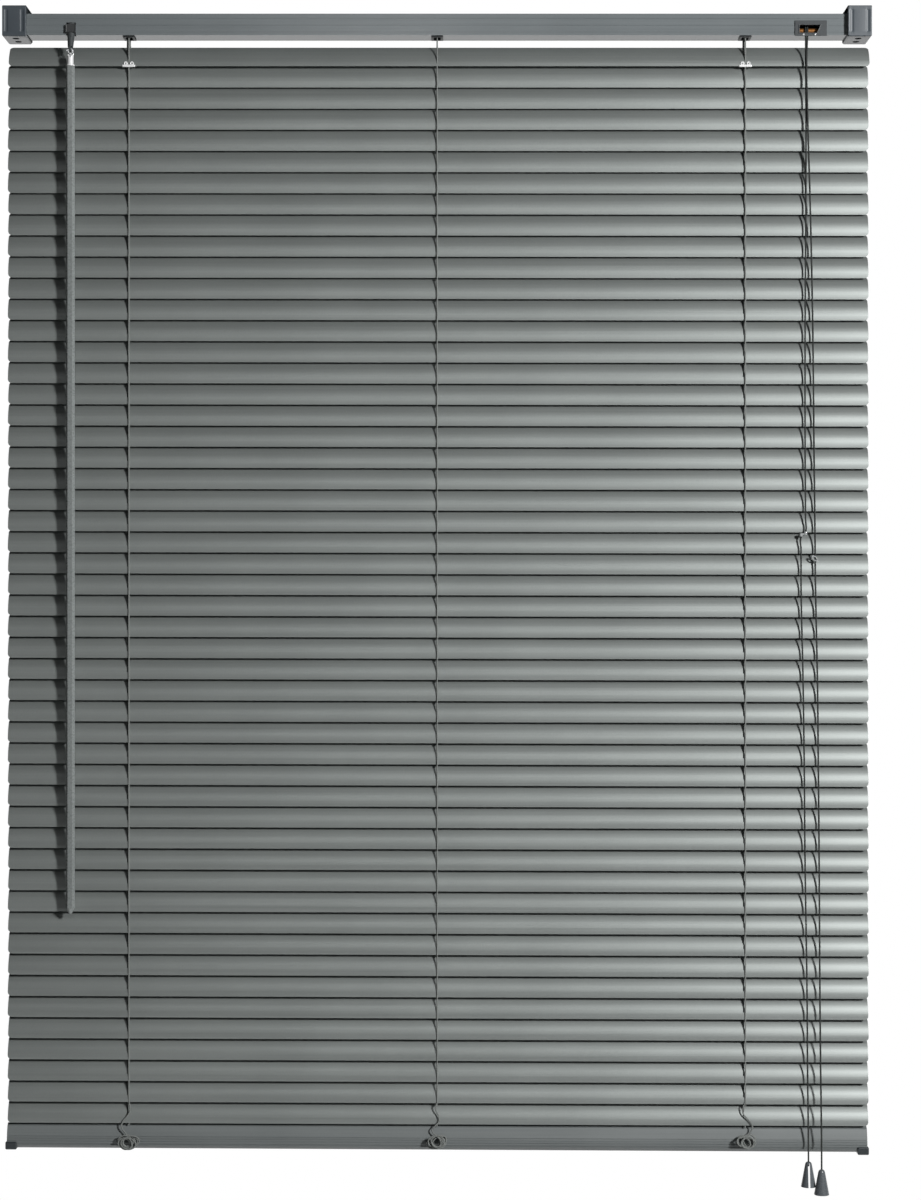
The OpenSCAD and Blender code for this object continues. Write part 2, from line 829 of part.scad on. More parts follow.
module bottom_rail() {
  l = 2 * foot_half_l - 1;
  color([0.44, 0.46, 0.46])
    difference() {
      at_slat(foot_z)
        along(l)
          difference() {
            foot_section(0);
            foot_section(foot_wall);
            // fine ribs on the lower half of the face
            for (i = [0 : 3])
              translate([-foot_w / 2 + 4 + i * 2.1, foot_t / 2 - 0.3])
                square([0.7, 1]);
          }
      // lift cords go in at the upper edge
      for (x = [-ladder_x, ladder_x])
        translate([x - lift_dx, mid_y + 2, foot_z])
          cylinder(h = 40, d = cord_d + 2 * run_gap);
      // plug holes
      for (x = [-ladder_x, 0, ladder_x])
        at_slat(foot_z)
          translate([x, 0, -foot_t])
            cylinder(h = foot_t, d = 7.5);
    }
}

module end_cap(right) {
  color([0.12, 0.12, 0.12])
    side(right)
      at_slat(foot_z)
        difference() {
          translate([foot_half_l - cap_l, -foot_w / 2 - 0.9, -foot_t / 2 - 0.9])
            cube([cap_l + 1, 9.5, foot_t + 1.8]);
          translate([-cap_l, 0, 0])
            along(2 * foot_half_l + 2 * cap_l)
              foot_section(-fit_gap);
        }
}

module plug(x) {
  color([0.3, 0.3, 0.3])
    at_slat(foot_z)
      translate([x, 0, -foot_t / 2]) {
        translate([0, 0, -1.6 - fit_gap])
          cylinder(h = 1.6, d = 12);
        translate([0, 0, -1])
          cylinder(h = 2.6, d = 7.5 - 2 * fit_gap);
      }
}

// spare ladder cord, tied in a hank in front of the bottom rail
module hank(x) {
  face = mid_y - foot_t / 2 - foot_w / 4 * cos(slat_tilt) - 1.2;
  color([0.36, 0.37, 0.37]) {
    translate([x, face - fit_gap, foot_z - 4])
      rotate([90, 0, 0])
        linear_extrude(height = hank_t) {
          square([hank_w - hank_h, hank_h], center = true);
          for (k = [-1, 1])
            translate([k * (hank_w - hank_h) / 2, 0])
              circle(d = hank_h);
        }
    bar([x, front_string_y - 0.4, foot_z + 7.4], [x, face - hank_t / 2, foot_z - 1], string_d);
  }
}

headrail();
end_bracket(false);  // left_end_bracket
end_bracket(true);  // right_end_bracket
cover(false);  // left_cover
cover(true);  // right_cover
tilter_housing();
tilter_worm();
worm_wheel();
tilt_rod();
drum(-ladder_x);  // left_drum
drum(0);  // centre_drum
drum(ladder_x);  // right_drum
cradle(-ladder_x);  // left_cradle
cradle(0);  // centre_cradle
cradle(ladder_x);  // right_cradle
wand_hook();
wand_sleeve();
wand();
cord_lock_body();
lock_axle();
lock_roller();
slats();
ladder(-ladder_x);  // left_ladder
ladder(0);  // centre_ladder
ladder(ladder_x);  // right_ladder
clip(-ladder_x);  // left_clip
clip(ladder_x);  // right_clip
lift_cord(-ladder_x - lift_dx, mid_y + 1.5, exit_x_2);  // left_lift_cord
lift_cord(ladder_x - lift_dx, mid_y - 1.5, exit_x_1);  // right_lift_cord
pull_cord(exit_x_1, route_1, tassel_drop_1);  // pull_cord_1
pull_cord(exit_x_2, route_2, tassel_drop_2);  // pull_cord_2
cord_stop_1();
cord_stop_2();
tassel(end_1, tassel_drop_1, 0);  // tassel_1
tassel(end_2, tassel_drop_2, 90);  // tassel_2
bottom_rail();
end_cap(false);  // left_end_cap
end_cap(true);  // right_end_cap
plug(-ladder_x);  // left_plug
plug(0);  // centre_plug
plug(ladder_x);  // right_plug
hank(-ladder_x);  // left_hank
hank(0);  // centre_hank
hank(ladder_x);  // right_hank
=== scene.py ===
# %% [markdown]
# # A closed venetian blind
# This lesson dresses the measured model of a grey venetian blind. The frame that is loaded first
# gives every part its place, in metres, and the parts' names. All later cells only add to it.

# %% Load the frame
import json
import math
import random

import bmesh
import bpy
from mathutils import Matrix, Vector


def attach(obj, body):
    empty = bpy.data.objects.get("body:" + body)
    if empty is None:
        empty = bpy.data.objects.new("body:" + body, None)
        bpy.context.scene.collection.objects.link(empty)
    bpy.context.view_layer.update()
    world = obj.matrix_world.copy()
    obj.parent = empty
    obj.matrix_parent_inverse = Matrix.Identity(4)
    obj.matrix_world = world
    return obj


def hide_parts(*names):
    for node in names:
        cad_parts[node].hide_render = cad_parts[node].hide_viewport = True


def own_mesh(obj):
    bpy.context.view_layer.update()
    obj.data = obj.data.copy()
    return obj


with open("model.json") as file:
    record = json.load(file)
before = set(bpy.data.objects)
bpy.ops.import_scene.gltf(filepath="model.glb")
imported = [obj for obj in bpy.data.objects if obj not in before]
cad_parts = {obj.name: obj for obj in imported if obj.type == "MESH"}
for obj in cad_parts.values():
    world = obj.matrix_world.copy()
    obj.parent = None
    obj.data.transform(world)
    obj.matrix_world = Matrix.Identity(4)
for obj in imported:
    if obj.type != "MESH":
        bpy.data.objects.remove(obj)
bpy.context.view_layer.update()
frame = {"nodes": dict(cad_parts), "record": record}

NODES = frame["nodes"]

# %% [markdown]
# ## Camera
# The photograph was taken square on, from the middle of the blind's height and a little to the
# right of its centre. A short lens close by would spread the slats towards the picture's edges. A
# long lens about two and a half metres away keeps them parallel.

# %% Camera
UPRIGHT = (math.radians(90), 0, 0)
CAMERA_AT, CAMERA_LENS = (0.0243, -2.486, -0.5993), 71.04

bpy.ops.object.camera_add(location=CAMERA_AT, rotation=UPRIGHT)
camera = bpy.context.object
camera.data.lens = CAMERA_LENS
bpy.context.scene.camera = camera
bpy.context.scene.view_settings.view_transform = "Standard"
print("camera", [round(v, 3) for v in camera.location], "lens", camera.data.lens)

# %% [markdown]
# ## Shader sums
# A finish is a small network of nodes. It could be linked socket by socket, but sums are hard to
# read that way. Two classes keep it readable: a Value is one output of a node, and arithmetic on it
# adds Math nodes; a Graph adds any other node, settings first and then the numbers or links of its
# sockets.

# %% Values and graphs
class Value:
    """One output of a shader node, on which arithmetic adds Math nodes."""

    def __init__(self, graph, socket):
        self.graph, self.socket = graph, socket

    def math(self, operation, *terms):
        return self.graph.node("ShaderNodeMath", {"operation": operation}, dict(enumerate(terms)))

    def __add__(self, other):
        return self.math("ADD", self, other)

    def __sub__(self, other):
        return self.math("SUBTRACT", self, other)

    def __rsub__(self, other):
        return self.math("SUBTRACT", other, self)

    def __mul__(self, other):
        return self.math("MULTIPLY", self, other)

    __radd__, __rmul__ = __add__, __mul__


class Graph:
    """The node network of a material or of the world."""

    def __init__(self, tree):
        self.tree = tree

    def node(self, kind, settings=None, sockets=None, output=0):
        made = self.tree.nodes.new(kind)
        for name, value in (settings or {}).items():
            setattr(made, name, value)
        for name, value in (sockets or {}).items():
            if isinstance(value, Value):
                self.tree.links.new(value.socket, made.inputs[name])
            else:
                made.inputs[name].default_value = value
        return Value(self, made.outputs[output])

    def blend(self, share, first, second):
        return self.node("ShaderNodeMix", {"data_type": "RGBA"}, {0: share, 6: first, 7: second}, 2)

    def step(self, value, low, high):
        return self.node("ShaderNodeMapRange", {"interpolation_type": "SMOOTHSTEP"},
                         {0: value, 1: low, 2: high})

    def ray(self, *kinds):
        total = 0.0
        for kind in kinds:
            total = self.node("ShaderNodeLightPath", output=kind) + total
        return total.math("MINIMUM", total, 1.0)


def tone(red, green, blue):
    """A colour as a picture shows it (0 to 255), as the linear numbers that a shader takes."""
    share = [v / 255 for v in (red, green, blue)]
    return (*[v / 12.92 if v <= 0.04045 else ((v + 0.055) / 1.055) ** 2.4 for v in share], 1.0)


print("shader sums ready")

# %% [markdown]
# ## Studio
# The blind hangs in front of plain white. A white room all round would light it flat, so the world
# shows white only to the camera and to what is mirrored from behind, and lights the rest softly: a
# pale floor throws warm light up, and little comes from above.

# %% World
WHITE = (1.0, 1.0, 1.0, 1.0)
FROM_BELOW, FROM_ABOVE = tone(190, 186, 172), tone(15, 16, 17)
SIDE_EDGE, LOW_EDGE, FLOOR_EDGE = (-0.1, 0.5), (-0.12, 0.06), (-0.98, -0.5)

world = bpy.data.worlds.new("studio")
world.use_nodes = True
bpy.context.scene.world = world
studio = Graph(world.node_tree)
way = studio.node("ShaderNodeTexCoord", output="Generated")
height = studio.node("ShaderNodeSeparateXYZ", sockets={0: way}, output="Z")
behind = studio.step(studio.node("ShaderNodeSeparateXYZ", sockets={0: way}, output="Y"), *SIDE_EDGE)
behind = behind * (1 - studio.step(height, *LOW_EDGE))
above = studio.step(height, *FLOOR_EDGE)
room = studio.blend(above, FROM_BELOW, FROM_ABOVE)
seen = studio.ray("Is Camera Ray", "Is Transmission Ray") + studio.ray("Is Glossy Ray") * behind
sky = studio.blend(seen.math("MINIMUM", seen, 1.0), room, WHITE)
world.node_tree.links.new(sky.socket, world.node_tree.nodes["Background"].inputs["Color"])
print("world ready")

# %% [markdown]
# A lamp to the right, a little above the headrail, draws the cords' narrow shadows to the left and
# leaves dark lines between the slats. A broad lamp would wash both out. A weak fill in front evens the
# rest.

# %% Lamps
AIM = Vector((0.0, 0.0, -0.6))
LAMPS = (("key", (1.94, -2.65, 0.38), 0.36, 110), ("fill", (-0.15, -2.60, 0.36), 0.30, 2.6))

for name, spot, size, energy in LAMPS:
    at = Vector(spot)
    turn = (AIM - at).to_track_quat("-Z", "Y").to_euler()
    bpy.ops.object.light_add(type="AREA", location=at, rotation=turn)
    lamp = bpy.context.object
    lamp.name, lamp.data.shape = name, "SQUARE"
    lamp.data.size, lamp.data.energy = size, energy
    print(name, "lamp at", spot)

# %% [markdown]
# The floor lies well below the blind. For all other light it is pale grey, but to the camera and in
# mirrors it glows just white, so that it meets the white behind it without an edge.

# %% Floor
FLOOR_SIZE, FLOOR_AT, FLOOR_GREY = 16, (0, 4, -2.4), (0.8, 0.8, 0.8, 1)

bpy.ops.mesh.primitive_plane_add(size=FLOOR_SIZE, location=FLOOR_AT)
floor = bpy.context.object
floor.name = "floor"
floor.data.materials.append(bpy.data.materials.new("white_floor"))
floor.active_material.use_nodes = True
paper = Graph(floor.active_material.node_tree)
shown = paper.ray("Is Camera Ray", "Is Glossy Ray", "Is Transmission Ray")
sheet = paper.tree.nodes["Principled BSDF"]
sheet.inputs["Base Color"].default_value = FLOOR_GREY
glow = paper.node("ShaderNodeEmission", sockets={"Color": WHITE, "Strength": 1.0})
both = paper.node("ShaderNodeMixShader", sockets={0: shown, 2: glow})
paper.tree.links.new(sheet.outputs[0], both.socket.node.inputs[1])
paper.tree.links.new(both.socket, paper.tree.nodes["Material Output"].inputs["Surface"])
print("floor ready")

# %% [markdown]
# ## Finishes
# Nearly everything here is satin paint or moulded plastic in a few greys. One plain grey each would
# look like paper, so one recipe adds what the real surfaces show: broad clouds of tone, a fine grain
# that also roughens the gloss, and lines along X where the part was rolled or drawn. The numbers
# differ for each part.

# %% The recipe for paint and plastic
CLOUDS, DRAWN, DRAWN_LONG = 14.0, 700.0, (0.004, 1, 1)


class Finish(Graph):
    """A material that starts from Blender's own surface shader."""

    def __init__(self, name, **constants):
        self.material = bpy.data.materials.new(name)
        self.material.use_nodes = True
        super().__init__(self.material.node_tree)
        self.shader = self.tree.nodes["Principled BSDF"]
        for socket, value in constants.items():
            self.shader.inputs[socket.replace("_", " ")].default_value = value

    def feed(self, socket, value):
        self.tree.links.new(value.socket, self.shader.inputs[socket])

    def coordinates(self, scale=(1, 1, 1)):
        base = self.node("ShaderNodeTexCoord", output="Object")
        return self.node("ShaderNodeMapping", sockets={"Vector": base, "Scale": scale})

    def noise(self, scale, detail=2.0, stretch=(1, 1, 1)):
        at = self.coordinates(stretch)
        return self.node("ShaderNodeTexNoise", sockets={"Vector": at, "Scale": scale, "Detail": detail})

    def bump(self, height, strength, distance=0.0002):
        return self.node("ShaderNodeBump",
                         sockets={"Height": height, "Strength": strength, "Distance": distance})


def satin(name, dark, light, rough, grain=900.0, lines=0.0, relief=0.12, **constants):
    """Paint or plastic: clouds of tone, fine grain and, for rolled parts, lines along X."""
    finish = Finish(name, **constants)
    clouds, fine = finish.noise(CLOUDS, 3.0), finish.noise(grain, 2.0)
    share = clouds * 0.6 + fine * 0.4
    if lines:
        drawn = finish.noise(DRAWN, 3.0, DRAWN_LONG)
        share = share * (1 - lines) + drawn * lines
        fine = fine * 0.4 + drawn * 0.6
    share = finish.step(share, 0.3, 0.7)
    finish.feed("Base Color", finish.blend(share, tone(*dark), tone(*light)))
    finish.feed("Roughness", (fine - 0.5) * 0.16 + rough)
    finish.feed("Normal", finish.bump(fine, relief))
    return finish.material


FINISH = {
    "slat": satin("slat_paint", (146, 151, 149), (155, 160, 158), 0.42, 700.0, 0.35, 0.04, Metallic=0.58),
    "rail": satin("rail_paint", (112, 118, 120), (122, 128, 130), 0.2, 900.0, 0.5, 0.01),
    "base": satin("base_paint", (110, 115, 115), (120, 125, 125), 0.5, 900.0, 0.5, 0.05),
    "bracket": satin("bracket_plastic", (70, 76, 80), (84, 90, 94), 0.24, 1200.0, relief=0.03),
    "cover": satin("cover_plastic", (70, 77, 83), (82, 89, 95), 0.42, 1200.0, relief=0.06),
    "gear": satin("dark_plastic", (52, 54, 55), (66, 68, 69), 0.5),
    "stem": satin("stem_plastic", (66, 70, 71), (92, 96, 97), 0.35),
    "clear": satin("clear_plastic", (236, 238, 238), (250, 250, 250), 0.22, relief=0.03, Coat_Weight=0.3),
    "bead": satin("bead_plastic", (128, 132, 132), (186, 190, 190), 0.16, relief=0.02, Coat_Weight=0.5),
    "wand": satin("wand_plastic", (130, 135, 134), (138, 143, 142), 0.28, 500.0, relief=0.01, Coat_Weight=0.3),
    "lock": satin("lock_plastic", (46, 51, 54), (56, 61, 64), 0.36, relief=0.03),
    "tassel": satin("tassel_plastic", (88, 93, 97), (100, 105, 109), 0.27, 800.0, relief=0.01),
    "steel": satin("bright_steel", (228, 230, 232), (244, 245, 246), 0.34, 900.0, relief=0.03, Metallic=0.55),
    "brass": satin("worn_brass", (150, 98, 52), (182, 126, 72), 0.32, 600.0, relief=0.03, Metallic=0.6),
}
print("finishes:", ", ".join(FINISH))

# %% [markdown]
# ## String and cord
# The ladders are grey braided string, the lift cords are a darker and thicker braid. Each strand could
# be modelled, but it is a fraction of a millimetre wide. Two sets of slanting waves that cross along
# the height stand for the strands.

# %% The braid
SLANT, FUZZ, WORN = 0.8, 2500.0, 900.0


def braid(name, dark, light, strand):
    """Crossing slanted strands, as wide as strand, in two tones."""
    finish = Finish(name, Specular_IOR_Level=0.3)
    along = finish.node("ShaderNodeSeparateXYZ", sockets={0: finish.coordinates()}, output="Z")
    across = finish.node("ShaderNodeSeparateXYZ", sockets={0: finish.coordinates()}, output="X")
    pitch = 2 * math.pi / strand
    left = (along + across * SLANT) * pitch
    right = (along - across * SLANT) * pitch
    weave = left.math("SINE", left) * right.math("SINE", right)
    share = finish.step(weave * 0.35 + finish.noise(FUZZ, 2.0), 0.1, 0.9)
    finish.feed("Base Color", finish.blend(share, tone(*dark), tone(*light)))
    finish.feed("Roughness", 0.78 + finish.noise(WORN) * 0.15)
    finish.feed("Normal", finish.bump(weave, 0.5, 0.0003))
    return finish.material


FINISH["string"] = braid("ladder_string", (112, 116, 114), (152, 155, 152), 0.0016)
FINISH["cord"] = braid("lift_braid", (36, 38, 37), (66, 69, 68), 0.0021)
print("braids ready")

# %% [markdown]
# ## Pull cords
# Two lift cords leave the cord lock and hang in front of the slats at the right, each with a small
# stop and a tassel. A real cord hangs almost straight, with the slow bends that it kept from its
# packing. A tube of straight lengths would show its corners. A smooth curve through a few points has
# none, and its bevel makes it round.

# %% Pull cords
LOCK_OUT = (-0.0285, -0.0122)
CORD_THICK, INTO_TASSEL = 0.0018, 0.0045


def place(*points):
    """Points in millimetres as vectors in metres."""
    return [Vector(point) * 0.001 for point in points]


def long(points):
    """The length of a line through the points."""
    return sum((b - a).length for a, b in zip(points, points[1:]))


def strand(name, points, thick, finish, smooth=6):
    """A cord: one open curve through the points, with a round section."""
    line = bpy.data.curves.new(name, "CURVE")
    line.dimensions = "3D"
    line.bevel_depth, line.bevel_resolution = thick / 2, 3
    line.resolution_u, line.use_fill_caps = smooth, True
    spline = line.splines.new("BEZIER")
    spline.bezier_points.add(len(points) - 1)
    for knot, point in zip(spline.bezier_points, points):
        knot.co = point
        knot.handle_left_type = knot.handle_right_type = "AUTO"
    piece = bpy.data.objects.new(name, line)
    bpy.context.scene.collection.objects.link(piece)
    line.materials.append(FINISH[finish])
    return piece


ROUTE_1 = ((0, 0, 0), (0.1, 0.2, 0.02), (0.5, 0.9, 0.08), (0.5, 1.5, 0.14), (-0.2, 2, 0.25),
           (-0.2, 2.3, 0.37), (0.2, 2.3, 0.43), (0.2, 2.3, 0.4412), (-4.5, 2.3, 0.4462), (-4.5, 2.2, 0.457),
           (-4.3, 2.1, 0.5), (-2.5, 1.9, 0.57), (-1.2, 1.7, 0.65), (-0.5, 1.3, 0.73), (1.5, 0.5, 0.85),
           (1.9, -0.5, 0.92), (2.5, -1.5, 0.97), (2.7, -1.5, 1))
ROUTE_2 = ((0, 0, 0), (-0.9, -1.2, 0.014), (-1.3, -1.7, 0.03), (-0.5, -1.3, 0.06), (0.9, -0.4, 0.1),
           (2.5, 0.6, 0.14), (5.4, 1.5, 0.25), (7.0, 1.9, 0.37), (8, 2.1, 0.44), (8.2, 2.1, 0.462),
           (8.2, 2.1, 0.468), (8.8, 2.1, 0.5), (10.5, 1.9, 0.57), (11.3, 1.6, 0.64), (12.1, 1.2, 0.72),
           (12.7, -1, 0.85), (13, -3.4, 0.91), (13.4, -7, 0.97), (13.3, -8.5, 1))
HANGING = (("pull_cord_1", ROUTE_1, 0.3825, 1.182), ("pull_cord_2", ROUTE_2, 0.3845, 1.1885))


def hanging(route, out_x, drop):
    """The points of a pull cord from the lock down into its tassel."""
    out_y, out_z = LOCK_OUT
    points = [Vector((out_x + a * 0.001, out_y + b * 0.001, out_z + c * (-drop - out_z)))
              for a, b, c in route]
    return points + [points[-1] - Vector((0, 0, INTO_TASSEL))]


PULLS = {}
for name, route, out_x, drop in HANGING:
    points = hanging(route, out_x, drop)
    PULLS[name] = (strand(name + "_braid", points, CORD_THICK, "cord"), points)
    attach(PULLS[name][0], "headrail")
    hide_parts(name)
    print(name, "is", round(long(points), 3), "m long")

# %% [markdown]
# ## Hanks
# The spare ends of the ladder strings are wound up below the last slat, in front of the bottom rail.
# A neat spiral would look like a spring. So each is a tangle: turns of different sizes that tilt and
# shift against one another, each a little further forward than the one before. The string feeds in by
# slow bends, different at each ladder. The draws have a seed, so the tangle is the same each time.

# %% Hanks
STRING_THICK = 0.0014
LADDERS = {"left": -0.3205, "centre": 0.0, "right": 0.3205}
HANK_TURNS, HANK_POINTS, HANK_START = 11, 16, math.radians(70)
HANK_Y, HANK_Z, HANK_DEEP, HANK_WAVE = -27.0, -1161.2, 7.8, 0.5
TURN_SPANS = ((5.6, 8.4), (5.0, 5.9), (-0.7, 0.7), (1.0, 5.2), (-1.8, 1.4))
FEED_Y, FEED_OUT, FEED_TOP = -24.5, 2.5, -1121
FEEDS = {"left": ((0, 0), (1.8, -7), (-1.2, -14), (-6.0, -20), (-7.2, -26), (-3.6, -31.5)),
         "centre": ((0, 0), (-1.6, -7), (1.2, -14), (2.0, -19.5), (-2.4, -25), (-5.2, -29.5)),
         "right": ((0, 0), (-2.6, -6), (-2.4, -12), (2.6, -18), (6.8, -24), (5.4, -30.5))}
HANK_SEEDS = {"left": 696, "centre": 760, "right": 819}


def winding(side, x, seed):
    """The string's way from the ladder into the hank and round it."""
    chance = random.Random(seed)
    turns = [[chance.uniform(*span) for span in TURN_SPANS] for _ in range(HANK_TURNS + 2)]
    for turn in turns[::2]:
        turn[3] = -turn[3]
    feed, hand = FEEDS[side], -1 if side == "right" else 1
    way = place(*[(a, FEED_Y - FEED_OUT * k / len(feed), FEED_TOP + b) for k, (a, b) in enumerate(feed)])
    for i in range(1, HANK_TURNS * HANK_POINTS + 1):
        t = i / HANK_POINTS
        ease = (1 - math.cos(math.pi * (t % 1))) / 2
        before, after = turns[int(t)], turns[int(t) + 1]
        wide, high, lean, aside, up = [a + (b - a) * ease for a, b in zip(before, after)]
        angle = HANK_START - 2 * math.pi * t
        round_x, round_z = wide * math.cos(angle), high * math.sin(angle)
        way += place((hand * (aside + round_x * math.cos(lean) - round_z * math.sin(lean)),
                      HANK_Y - HANK_DEEP * t / HANK_TURNS - HANK_WAVE * math.sin(5 * t),
                      HANK_Z + up + round_x * math.sin(lean) + round_z * math.cos(lean)))
    return [point + Vector((x, 0, 0)) for point in way]


for side, x in LADDERS.items():
    points = winding(side, x, HANK_SEEDS[side])
    piece = strand(side + "_hank_string", points, STRING_THICK, "string", 4)
    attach(piece, "bottom_rail")
    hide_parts(side + "_hank")
    long(points)
    print(side, "hank holds", round(long(points), 3), "m of string")

# %% [markdown]
# ## Hand tools
# Some steps come back for every piece: deselecting everything, going into edit mode, choosing faces
# or edges by where they are, and finishing a piece so that it rides on its body with its finish.

# %% Hand tools
def fresh():
    """Nothing selected and nothing in edit mode."""
    if bpy.context.object and bpy.context.object.mode != "OBJECT":
        bpy.ops.object.mode_set(mode="OBJECT")
    bpy.ops.object.select_all(action="DESELECT")


def take(piece):
    """Make one object the only selected and active one."""
    fresh()
    piece.select_set(True)
    bpy.context.view_layer.objects.active = piece


def choose(piece, kind, test):
    """In edit mode, select the vertices, edges or faces whose middle passes the test."""
    bpy.ops.mesh.select_mode(type=kind)
    bpy.ops.mesh.select_all(action="DESELECT")
    shape = bmesh.from_edit_mesh(piece.data)
    shape.normal_update()
    for part in {"VERT": shape.verts, "EDGE": shape.edges, "FACE": shape.faces}[kind]:
        if kind == "VERT":
            part.select_set(test(part.co, part.normal))
        elif kind == "EDGE":
            start, end = [point.co for point in part.verts]
            part.select_set(test((start + end) / 2, end - start))
        else:
            part.select_set(test(part.calc_center_median(), part.normal))
    shape.select_flush_mode()
    bmesh.update_edit_mesh(piece.data)


def modify(piece, kind, **settings):
    """Add a modifier and apply it at once."""
    take(piece)
    added = piece.modifiers.new(kind.lower(), kind)
    for name, value in settings.items():
        setattr(added, name, value)
    bpy.ops.object.modifier_apply(modifier=added.name)


def dress(piece, finish, body, *nodes, smooth=30, slot=None):
    """Shade a finished piece, give it its finish, and let it ride on its body in a part's place."""
    take(piece)
    bpy.ops.object.transform_apply(location=True, rotation=True, scale=True)
    bpy.ops.object.shade_smooth_by_angle(angle=math.radians(smooth))
    modify(piece, "WEIGHTED_NORMAL", keep_sharp=True)
    piece.data.materials.clear()
    piece.data.materials.append(FINISH[finish])
    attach(piece, body)
    if nodes:
        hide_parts(*nodes)


print("hand tools ready")

# %% [markdown]
# ## Slats
# A slat is a thin satin strip, 25 mm wide and curved across, with round corners and two slots for the
# lift cords. It could be drawn as an arc and extruded, but corners and slots are easier to make while
# it is flat. So it starts as an upright plate: its corners are rounded, cuts across it leave rows of
# faces, the slots are taken out, and a bend and a wall thickness finish it.

# %% One slat
SLAT_LONG, SLAT_ARC, SLAT_THICK, SLAT_ROUND = 0.895, 0.02534, 0.00045, 0.004
SLAT_CUTS, SLAT_ROWS = (-0.16, 0.0, 0.16), (-0.8, -0.6, -0.2, 0.0, 0.2, 0.6, 0.8)
SLAT_RISE, SLAT_BEND = 0.0026, math.radians(48)
SLOT_WIDE, SLOT_HIGH, SLOT_SHIFT = 0.0008, 0.011, -0.0029


def cut(at, along):
    """Cut all faces with a plane through a point."""
    bpy.ops.mesh.select_all(action="SELECT")
    bpy.ops.mesh.bisect(plane_co=at, plane_no=along)


fresh()
bpy.ops.mesh.primitive_plane_add(size=1, rotation=UPRIGHT)
slat = bpy.context.object
slat.name = "slat"
bpy.ops.object.transform_apply(rotation=True)
bpy.ops.object.mode_set(mode="EDIT")
bpy.ops.transform.resize(value=(SLAT_LONG, 1, SLAT_ARC))
bpy.ops.mesh.bevel(offset=SLAT_ROUND, segments=4, affect="VERTICES")
slots = [x + SLOT_SHIFT for x in (LADDERS["left"], LADDERS["right"])]
for x in [s + side * SLOT_WIDE / 2 for s in slots for side in (-1, 1)] + [*SLAT_CUTS]:
    cut((x, 0, 0), (1, 0, 0))
for share in SLAT_ROWS:
    cut((0, 0, share * SLAT_ARC / 2), (0, 0, 1))
for side in (-1, 1):
    cut((0, 0, side * SLOT_HIGH / 2), (0, 0, 1))
choose(slat, "FACE", lambda at, normal: abs(at.z) < SLOT_HIGH / 2
       and min(abs(at.x - s) for s in slots) < SLOT_WIDE / 2)
bpy.ops.mesh.delete(type="FACE")
bpy.ops.object.mode_set(mode="OBJECT")
modify(slat, "SIMPLE_DEFORM", deform_method="BEND", deform_axis="X", angle=SLAT_BEND)
modify(slat, "SOLIDIFY", thickness=SLAT_THICK, offset=1.0)
print("one slat:", len(slat.data.polygons), "faces, box", [round(v, 4) for v in slat.dimensions])

# %% [markdown]
# The closed blind has fifty-one of these, leaning from upright with the lower edge to the room, the
# lower ones a little more than the upper ones, and the first one most. No two lie exactly alike, so
# each copy gets a slight turn and shift of its own, and the whole blind hangs a few millimetres lower
# at the right. When the blind is raised they gather under the headrail.

# %% All slats
SLATS, SLAT_TOP, SLAT_STEP = 51, -0.032, 0.022
SLAT_X, STRAY_X, FIRST_SHIFT = 0.0011, 0.00025, Vector((0.0012, 0, -0.0016))
LEAN_FIRST, LEAN_TOP, LEAN_GROWS, LEAN_STRAY = 29, 14, 9, 0.5
HANG_SLOPE, HANG_DROP, HANG_Z = 0.0042, 0.0012, -1.157
MID_Y = -0.0185


def lean_of(i):
    """How far a slat leans from upright."""
    return math.radians(LEAN_FIRST if i == 0 else LEAN_TOP + LEAN_GROWS * i / (SLATS - 1))


def skew(z):
    """The slope that the blind hangs with at a height: lower at the right, more so further down."""
    share = min(1.0, z / HANG_Z)
    lower = Matrix.Identity(4)
    lower[2][0] = -HANG_SLOPE * share
    lower[2][3] = -HANG_DROP * share
    return lower


chance = random.Random(4)
slat_shape = slat.data.copy()
pieces = [slat]
for _ in range(SLATS - 1):
    pieces.append(slat.copy())
    pieces[-1].data = slat_shape.copy()
    bpy.context.scene.collection.objects.link(pieces[-1])
for i, piece in enumerate(pieces):
    piece.name = f"slat_{i + 1:02d}"
    lean = lean_of(i) + math.radians(chance.uniform(-LEAN_STRAY, LEAN_STRAY))
    at = Vector((SLAT_X + chance.uniform(-STRAY_X, STRAY_X), MID_Y, SLAT_TOP - i * SLAT_STEP))
    if i == 0:
        at += FIRST_SHIFT
    piece.data.transform(skew(at.z) @ Matrix.Translation(at) @ Matrix.Rotation(-lean, 4, "X")
                         @ Matrix.Translation((0, -SLAT_RISE, 0)))
for piece in pieces:
    dress(piece, "slat", "headrail", "slats")
    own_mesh(piece)
print(len(pieces), "slats")

# %% [markdown]
# ## Ladders
# Each ladder is two thin strings, in front of and behind the slats, with a rung below each slat. They
# could be cylinders, but the rungs have to follow every slat's lean. So all are tubes along simple
# lines through points on the slats, which become one mesh, because they never part.

# %% Ladders
FRONT_Y, BACK_Y = -0.0239, -0.01327
ROD_Z, FRONT_LOW, BACK_LOW = -0.0005, -1.121, -1.1425
RUNG_ENDS, RUNG_OUT = (-0.0135, 0.0127), -0.00105


def lines_to_mesh(name, lines, thick):
    """Round tubes along several lines, as one mesh."""
    curve = bpy.data.curves.new(name, "CURVE")
    curve.dimensions, curve.bevel_depth, curve.bevel_resolution = "3D", thick / 2, 2
    curve.use_fill_caps = True
    for line in lines:
        spline = curve.splines.new("POLY")
        spline.points.add(len(line) - 1)
        for knot, point in zip(spline.points, line):
            knot.co = (*point, 1)
    piece = bpy.data.objects.new(name, curve)
    bpy.context.scene.collection.objects.link(piece)
    take(piece)
    bpy.ops.object.convert(target="MESH")
    return bpy.context.object


